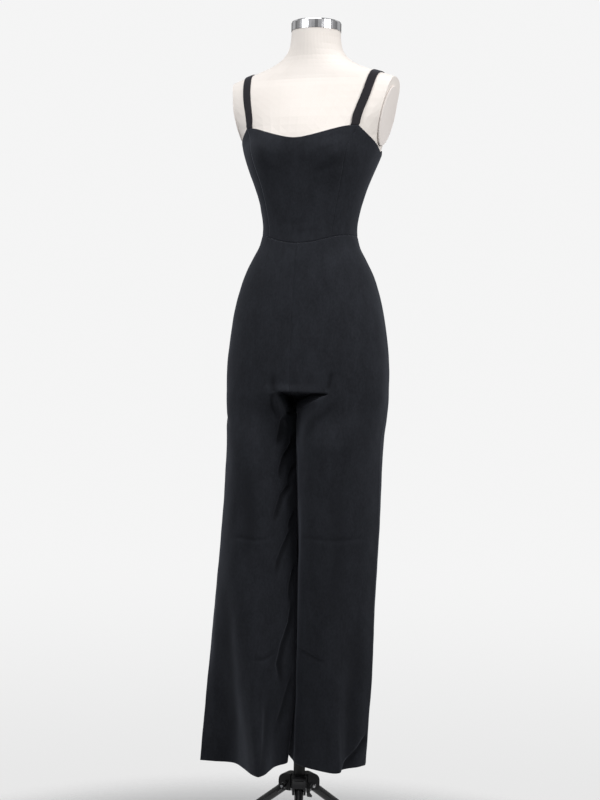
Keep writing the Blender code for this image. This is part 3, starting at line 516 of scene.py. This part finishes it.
# Creases of each panel: depth, half width, side of the low ridge, and the line drawn on
# the cloth in metres, as (distance from the side seam, height above the floor).
TROUSER_CREASES = {
    "trouser_front_right": (
        (0.0048, 0.008, 1, ((0.222, 1.196), (0.219, 1.160), (0.230, 1.120), (0.252, 1.082))),
        (0.0075, 0.006, -1, ((0.286, 1.104), (0.258, 1.076), (0.236, 1.056), (0.214, 1.026))),
        (0.0050, 0.005, 1, ((0.276, 1.062), (0.262, 1.034), (0.250, 1.020))),
        (0.0070, 0.006, 1, ((0.268, 1.040), (0.234, 1.008), (0.222, 0.984), (0.216, 0.956))),
        (0.0055, 0.005, -1, ((0.270, 0.996), (0.248, 0.972), (0.238, 0.950))),
        (0.0080, 0.006, -1, ((0.256, 0.962), (0.222, 0.926), (0.212, 0.900), (0.200, 0.862))),
        (0.0045, 0.005, 1, ((0.262, 0.900), (0.244, 0.872), (0.236, 0.850))),
        (0.0065, 0.006, 1, ((0.256, 0.872), (0.228, 0.820), (0.214, 0.790), (0.205, 0.748))),
        (0.0060, 0.006, -1, ((0.262, 0.790), (0.246, 0.740), (0.240, 0.690))),
        (0.0085, 0.006, 1, ((0.254, 0.726), (0.242, 0.660), (0.222, 0.612), (0.212, 0.572), (0.226, 0.506))),
        (0.0050, 0.006, -1, ((0.250, 0.560), (0.238, 0.500), (0.232, 0.420))),
        (0.0017, 0.0036, 1, ((0.096, 0.832), (0.128, 0.838), (0.166, 0.834), (0.206, 0.843))),
        (0.0030, 0.004, -1, ((0.150, 0.582), (0.178, 0.587), (0.212, 0.602))),
        (0.0036, 0.017, 1, ((0.150, 1.010), (0.146, 0.900), (0.150, 0.760))),
        (0.0034, 0.020, -1, ((0.088, 0.760), (0.082, 0.560), (0.086, 0.300))),
        (0.0040, 0.015, 1, ((0.190, 0.530), (0.196, 0.430), (0.192, 0.300))),
        (0.0020, 0.010, 1, ((0.030, 1.120), (0.062, 1.085), (0.104, 1.068))),
    ),
    "trouser_front_left": (
        (0.0040, 0.005, -1, ((0.170, 1.194), (0.173, 1.172), (0.177, 1.146))),
        (0.0045, 0.007, 1, ((0.276, 1.040), (0.252, 0.985), (0.248, 0.900))),
        (0.0026, 0.009, -1, ((0.262, 0.860), (0.250, 0.780), (0.254, 0.690))),
        (0.0014, 0.0040, -1, ((0.236, 0.833), (0.190, 0.843), (0.128, 0.840), (0.064, 0.844),
                              (0.012, 0.836))),
        (0.0032, 0.004, 1, ((0.206, 0.606), (0.165, 0.596), (0.120, 0.580))),
        (0.0065, 0.006, 1, ((-0.010, 0.432), (0.026, 0.390), (0.050, 0.364), (0.076, 0.330))),
        (0.0026, 0.018, 1, ((0.120, 0.990), (0.112, 0.800), (0.118, 0.640))),
        (0.0022, 0.020, -1, ((0.052, 0.700), (0.058, 0.520), (0.050, 0.300))),
        (0.0026, 0.015, 1, ((0.205, 0.560), (0.214, 0.440), (0.208, 0.300))),
        (0.0010, 0.005, 1, ((0.150, 1.392), (0.153, 1.365), (0.156, 1.334))),
    ),
    "trouser_back_right": (
        (0.0040, 0.009, 1, ((0.262, 1.120), (0.236, 1.070), (0.205, 1.035))),
        (0.0046, 0.010, -1, ((0.250, 1.050), (0.214, 1.000), (0.186, 0.960))),
        (0.0034, 0.010, 1, ((0.236, 0.972), (0.206, 0.900), (0.196, 0.830))),
        (0.0013, 0.0035, 1, ((0.030, 0.838), (0.090, 0.842), (0.150, 0.836), (0.210, 0.840))),
        (0.0016, 0.005, -1, ((0.062, 0.596), (0.110, 0.588), (0.158, 0.592))),
        (0.0030, 0.019, 1, ((0.108, 1.000), (0.102, 0.800), (0.110, 0.610))),
        (0.0026, 0.017, -1, ((0.168, 0.700), (0.176, 0.500), (0.170, 0.300))),
        (0.0022, 0.020, 1, ((0.050, 0.600), (0.044, 0.450), (0.050, 0.300))),
        (0.0020, 0.010, 1, ((0.030, 1.130), (0.070, 1.098), (0.118, 1.086))),
    ),
    "trouser_back_left": (
        (0.0042, 0.009, -1, ((0.268, 1.112), (0.238, 1.066), (0.200, 1.040))),
        (0.0038, 0.010, 1, ((0.254, 1.034), (0.226, 0.982), (0.190, 0.950))),
        (0.0030, 0.011, -1, ((0.240, 0.940), (0.214, 0.870), (0.206, 0.790))),
        (0.0012, 0.0035, -1, ((0.026, 0.842), (0.084, 0.838), (0.160, 0.842), (0.214, 0.838))),
        (0.0017, 0.005, 1, ((0.080, 0.588), (0.128, 0.596), (0.172, 0.586))),
        (0.0028, 0.018, -1, ((0.096, 0.980), (0.106, 0.780), (0.098, 0.600))),
        (0.0028, 0.018, 1, ((0.160, 0.640), (0.150, 0.480), (0.156, 0.300))),
        (0.0020, 0.021, -1, ((0.044, 0.720), (0.050, 0.520), (0.046, 0.300))),
        (0.0018, 0.010, -1, ((0.028, 1.118), (0.066, 1.090), (0.110, 1.082))),
    ),
}
TROUSER_CUT = {              # flat width and length, and flat area
    "trouser_front_left": ((0.305, 1.155), 0.300),
    "trouser_front_right": ((0.300, 1.155), 0.288),
    "trouser_back_left": ((0.320, 1.155), 0.300),
    "trouser_back_right": ((0.320, 1.155), 0.304),
}
FORM_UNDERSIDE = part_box("form_torso")[0].z
RECESS_DEEP = 0.064          # the cloth falls in under the form's flat base, at the front
RECESS_SIDES = (-0.024, 0.092)           # across from the pole
RECESS_FOOT = (0.000, 1.094)             # across from the pole, and above the floor
RECESS_SLANT = 0.344         # it runs back towards the wearer's right at this slope
RECESS_MOUTH = -0.111        # its sides are drawn on the front, this far before the pole
RECESS_RISE = 0.016          # height over which its sloping floor turns in
RECESS_LIP, RECESS_TURN = 0.0010, 0.0030     # gap under the base, and the bend below it
RECESS_CORNER = 0.18         # share of each side over which it closes


def tucked_under(across, height):
    """How far the front goes back under the form's base: a wedge, deepest at its top."""
    first, last = RECESS_SIDES
    foot_x, foot_z = RECESS_FOOT
    run = np.where(across < foot_x, (foot_x - across) / (foot_x - first),
                   (across - foot_x) / (last - foot_x))
    floor = foot_z + (FORM_UNDERSIDE - foot_z) * np.clip(run, 0, 1) ** 0.8
    open_high = np.clip((height - floor) / RECESS_RISE, 0, 1)
    under = np.clip((FORM_UNDERSIDE - RECESS_LIP - height) / RECESS_TURN, 0, 1)
    inside = np.clip((1 - run) / RECESS_CORNER, 0, 1)
    return RECESS_DEEP * open_high * under * inside * inside * (3 - 2 * inside)


IRON_TOP, IRON_LOW = 1.146, 1.030        # heights between which the cloth falls straight
IRONED_FROM = {              # across from the pole: wholly ironed, and not at all
    "trouser_front_left": (0.100, 0.075),
    "trouser_front_right": (0.030, 0.016),
    "trouser_back_left": (0.060, 0.030),
    "trouser_back_right": (0.060, 0.030),
}


def ironed(grid, full_from, none_at):
    """Let the cloth fall smoothly past the form's base, outside the tucked-in middle."""
    top_row = np.argmin(np.abs(grid[..., 2] - IRON_TOP), axis=0)
    across = np.abs(grid[top_row, np.arange(grid.shape[1]), 0] - pole_x)
    weight = np.clip((across - none_at) / (full_from - none_at), 0, 1)
    for j in range(grid.shape[1]):
        high = top_row[j]
        low = np.argmin(np.abs(grid[:, j, 2] - IRON_LOW))
        fall = np.clip((grid[high, j, 2] - grid[high:low, j, 2]) / (grid[high, j, 2] - grid[low, j, 2]), 0, 1)
        fall = fall * fall * (3 - 2 * fall)
        straight = grid[high, j, 1] + (grid[low, j, 1] - grid[high, j, 1]) * fall
        grid[high:low, j, 1] += weight[j] * (straight - grid[high:low, j, 1])
    return grid


LEG_MIDDLE = 0.075           # from the pole to the middle of a leg
PRESS = 0.0024               # where the two legs press together between the thighs
PRESS_AT, PRESS_HIGH, PRESS_WIDE = 0.985, 0.035, 0.014
HEM_STITCH, HEM_STITCH_WIDE = 0.00030, 0.0016
for name, cut in TROUSER_CUT.items():
    grid = outer_skin(name, *TROUSER_GRID)
    if abs(grid[:, 0, 0].mean() - pole_x) < abs(grid[:, -1, 0].mean() - pole_x):
        grid = grid[:, ::-1]
    leg_x = pole_x + math.copysign(LEG_MIDDLE, grid[..., 0].mean() - pole_x)
    grid = woven(grid, WEAVE_STEP)
    normals = outward_normals(grid, (leg_x, pole_y))
    top, hem, side, inner = edge_distance(grid)
    flat = np.stack([side, grid[..., 2]], axis=2)
    grid = ironed(grid, *IRONED_FROM[name])
    if "front" in name:
        mouth = grid[..., 0] - pole_x + RECESS_SLANT * (grid[..., 1] - pole_y - RECESS_MOUTH)
        push = tucked_under(mouth, grid[..., 2])
        grid[..., 0] -= RECESS_SLANT * push
        grid[..., 1] += push
    relief = crease_relief(flat, TROUSER_CREASES[name]) * held_flat(side) * held_flat(inner) * held_flat(top)
    # Painted shade: the deeper a point lies in a crease, the darker the crepe's colour is made there.
    trough_and_painted_shade = np.clip(-relief / PAINTED_SHADE_FULL_DEPTH, 0, 1)
    relief += drift(grid) * held_flat(top, 0.05)
    relief += PRESS * np.exp(-(inner / PRESS_WIDE) ** 2 - ((grid[..., 2] - PRESS_AT) / PRESS_HIGH) ** 2)
    relief += sunk_seam(top) + sunk_seam(side) + sunk_seam(inner)
    relief -= HEM_STITCH * np.exp(-((hem - HEM_DEEP) / HEM_STITCH_WIDE) ** 2)
    thick = np.where(hem < HEM_DEEP, CREPE_THICK + HEM_PLY, CREPE_THICK)
    made = cloth_shell(name + "_cloth", grid + normals * relief[..., None], -normals, thick, trough_and_painted_shade)
    ride_cloth(made, name, crepe, cut)

# Bodice ------------------------------------------------------------------------------------
# A fitted bodice of the same crepe, fully faced: a centre front between two princess
# seams, two side fronts and one back, sewn to the trousers at the waist seam.
FACED_EDGE, FACED_WIDE = 0.0011, 0.006   # the faced top edge is this much thicker
TOP_STITCH_IN, TOP_STITCH, TOP_STITCH_WIDE = 0.0045, 0.00025, 0.0012
BODICE_STEP = 0.0030
BODICE_CREASES = {           # across from the pole and height above the floor
    "bodice_centre_front": (
        (0.0012, 0.007, 1, ((0.030, 1.600), (0.062, 1.607), (0.096, 1.628))),
        (0.0010, 0.006, -1, ((0.040, 1.640), (0.068, 1.646), (0.092, 1.660))),
        (0.0008, 0.007, 1, ((-0.030, 1.600), (-0.058, 1.612), (-0.086, 1.634))),
        (0.0007, 0.008, -1, ((-0.050, 1.500), (-0.010, 1.497), (0.030, 1.504))),
        (0.0006, 0.007, 1, ((-0.030, 1.482), (0.012, 1.480), (0.055, 1.488))),
    ),
    "bodice_side_front_left": (
        (0.0010, 0.007, 1, ((0.100, 1.540), (0.112, 1.555), (0.122, 1.580))),
        (0.0008, 0.006, -1, ((0.104, 1.665), (0.112, 1.672), (0.122, 1.674))),
    ),
    "bodice_side_front_right": (
        (0.0009, 0.007, 1, ((-0.098, 1.530), (-0.108, 1.550), (-0.120, 1.572))),
    ),
    "bodice_back": (
        (0.0010, 0.009, 1, ((-0.080, 1.508), (-0.030, 1.502), (0.040, 1.510))),
        (0.0008, 0.008, -1, ((-0.050, 1.534), (0.010, 1.528), (0.078, 1.538))),
        (0.0008, 0.010, 1, ((-0.110, 1.620), (-0.080, 1.590), (-0.062, 1.548))),
        (0.0007, 0.010, -1, ((0.104, 1.612), (0.078, 1.584), (0.066, 1.552))),
    ),
}
BODICE_CUT = {               # solid's grid, flat width and length, and flat area
    "bodice_centre_front": ((13, 17), (0.215, 0.245), 0.0432),
    "bodice_side_front_left": ((13, 7), (0.125, 0.225), 0.0206),
    "bodice_side_front_right": ((13, 7), (0.125, 0.225), 0.0206),
    "bodice_back": ((13, 17), (0.350, 0.180), 0.0525),
}
for name, (size, flat_size, area) in BODICE_CUT.items():
    grid = outer_skin(name, *size)
    if grid[:, 0, 0].mean() < grid[:, -1, 0].mean():
        grid = grid[:, ::-1]
    grid = woven(grid, BODICE_STEP)
    normals = outward_normals(grid, (pole_x, pole_y))
    top, waist, first, last = edge_distance(grid)
    flat = np.stack([grid[..., 0] - pole_x, grid[..., 2]], axis=2)
    relief = crease_relief(flat, BODICE_CREASES[name]) * held_flat(first) * held_flat(last)
    # Painted shade: the deeper a point lies in a crease, the darker the crepe's colour is made there.
    trough_and_painted_shade = np.clip(-relief / PAINTED_SHADE_FULL_DEPTH, 0, 1)
    relief += 0.5 * drift(grid) * held_flat(waist, 0.03)
    relief += sunk_seam(waist) + sunk_seam(first) + sunk_seam(last)
    relief -= TOP_STITCH * np.exp(-((top - TOP_STITCH_IN) / TOP_STITCH_WIDE) ** 2)
    thick = CREPE_THICK + FACED_EDGE * np.exp(-(top / FACED_WIDE) ** 2)
    made = cloth_shell(name + "_cloth", grid + normals * relief[..., None], -normals, thick, trough_and_painted_shade)
    ride_cloth(made, name, crepe, (flat_size, area))

# Straps ------------------------------------------------------------------------------------
# Each is one strip of crepe folded to two plies and stitched near both edges, sewn into
# the front edge at the princess seam and into the back edge.
STRAP_GRID = (49, 3)
STRAP_STEP = 0.003
STRAP_COLUMNS = 19
STRAP_PLIES = 0.0015
STRAP_EDGE, STRAP_EDGE_SOFT = 0.00055, 0.0009        # how its folded edges round off
STRAP_STITCH, STRAP_STITCH_IN, STRAP_STITCH_WIDE = 0.00030, 0.0022, 0.0005
# a groove or rounded edge this deep gets the strap's fullest painted shade
STRAP_PAINTED_SHADE_DEPTH = 0.0012
strap_finish = crepe_cloth("strap_crepe", (0.0120, 0.0105, 0.0125), (0.0200, 0.0180, 0.0210), 0.78)
for word in ("left", "right"):
    name = "strap_" + word
    grid = outer_skin(name, *STRAP_GRID)
    long = np.linalg.norm(np.diff(grid, axis=0), axis=2).sum(axis=0).mean()
    grid = smooth_resample(grid, (round(long / STRAP_STEP) + 1, STRAP_COLUMNS))
    normals = unit_normals(grid)
    if normals[len(grid) // 2, STRAP_COLUMNS // 2, 2] < 0:       # they point up at the shoulder
        normals = -normals
    _, _, first, last = edge_distance(grid)
    near = np.minimum(first, last)
    relief = -(STRAP_EDGE * np.exp(-(near / STRAP_EDGE_SOFT) ** 2)
               + STRAP_STITCH * np.exp(-((near - STRAP_STITCH_IN) / STRAP_STITCH_WIDE) ** 2))
    # Painted shade: the strap's colour is darkened along its rounded edges and in its stitch grooves.
    made = cloth_shell(name + "_cloth", grid + normals * relief[..., None], -normals,
                       np.full(near.shape, STRAP_PLIES), np.clip(-relief / STRAP_PAINTED_SHADE_DEPTH, 0, 1))
    ride_cloth(made, name, strap_finish, ((0.0174, 0.390), 0.0067))

# Studio ------------------------------------------------------------------------------------
# A pale paper floor that melts into a white room, two soft boxes high on either side, a
# panel overhead, and dim gaps between the room's panels for the chrome to mirror.
FLOOR_RADIUS = 1.9
FLOOR_FADE = (0.80, 1.20)    # the paper is whole within the first radius, gone by the second
floor_disc = bmesh.new()
rim = [floor_disc.verts.new((FLOOR_RADIUS * math.cos(math.radians(turn)),
                             FLOOR_RADIUS * math.sin(math.radians(turn)), -0.0005))
       for turn in range(0, 360, 5)]
floor_disc.faces.new(rim)
floor_mesh = bpy.data.meshes.new("floor")
floor_disc.to_mesh(floor_mesh)
floor_disc.free()
floor = bpy.data.objects.new("floor", floor_mesh)
bpy.context.scene.collection.objects.link(floor)
place, link = finish_named("floor_paper", Roughness=0.9, Specular_IOR_Level=0.15)
length = place.node("ShaderNodeVectorMath", dict(operation="LENGTH"), in_0=place)
reach = Field(place.tree, length.outputs[1])
paper = place.noise(place, 2.0, 2.0)
floor_mesh.materials.append(link(Base_Color=paper.colours((0.66, 0.66, 0.67), (0.69, 0.69, 0.69)),
                                 Alpha=1 - reach.between(*FLOOR_FADE)))


def soft_light(name, at, towards, wide, high, power, spread=180.0, colour=(1.0, 1.0, 1.0)):
    """A rectangular soft box; spread is how wide its beam opens, in degrees."""
    lamp = bpy.data.lights.new(name, "AREA")
    lamp.spread = math.radians(spread)
    lamp.shape = "RECTANGLE"
    lamp.size = wide
    lamp.size_y = high
    lamp.energy = power
    lamp.color = colour
    made = bpy.data.objects.new(name, lamp)
    made.location = at
    made.rotation_euler = (Vector(towards) - Vector(at)).to_track_quat("-Z", "Y").to_euler()
    bpy.context.scene.collection.objects.link(made)


soft_light("key", (-1.4, -1.8, 2.9), (0.05, 0.0, 1.60), 1.1, 1.2, 7.4, 76.0, (0.97, 0.985, 1.0))
soft_light("fill", (2.5, -0.9, 2.3), (0.05, 0.0, 1.55), 1.2, 1.4, 11.0, 76.0)
soft_light("overhead", (0.0, -0.9, 3.4), (0.05, 0.1, 1.5), 1.6, 1.6, 11.5)

world = bpy.data.worlds.new("studio")
bpy.context.scene.world = world
world.use_nodes = True
sky = world.node_tree.nodes["Background"]
sky.inputs["Color"].default_value = (1.0, 1.0, 1.0, 1.0)
way = Field(world.node_tree, world.node_tree.nodes.new("ShaderNodeTexCoord").outputs["Generated"])
east, north, up = (Field(way.tree, socket)
                   for socket in way.node("ShaderNodeSeparateXYZ", Vector=way).outputs)
panels = way.maths("SINE", way.maths("ARCTAN2", north, east) * 7.0 + 0.9).between(-0.35, 0.45)
room = (0.23 + 0.30 * panels) * (0.30 + 0.86 * up.between(-0.3, 0.5))
seen = 0.80 + 0.11 * up.between(-0.30, -0.13)
backdrop = Field(way.tree, way.node("ShaderNodeLightPath").outputs["Is Camera Ray"])
strength = room * (1 - backdrop) + seen * backdrop       # the backdrop itself looks evenly lit
world.node_tree.links.new(strength.socket, sky.inputs["Strength"])
bpy.context.scene.view_settings.view_transform = "Standard"

# Camera at chest height, a little to the wearer's left of the front.
TURN_TO_LEFT = math.radians(19.0)
CAMERA_AWAY = 3.2
CAMERA_HIGH = 1.22
LOOK_AT = (-0.0137, -0.0047, 1.128)      # from the foot of the pole
ROLL = math.radians(1.15)
camera_data = bpy.data.cameras.new("camera")
camera_data.lens = 67.2
camera = bpy.data.objects.new("camera", camera_data)
bpy.context.scene.collection.objects.link(camera)
foot = Vector((pole_x, pole_y, 0.0))
camera.location = foot + Vector((CAMERA_AWAY * math.sin(TURN_TO_LEFT),
                                 -CAMERA_AWAY * math.cos(TURN_TO_LEFT), CAMERA_HIGH))
aim = (foot + Vector(LOOK_AT) - camera.location).to_track_quat("-Z", "Y")
camera.rotation_mode = "QUATERNION"
camera.rotation_quaternion = aim @ Quaternion((0, 0, 1), ROLL)
bpy.context.scene.camera = camera
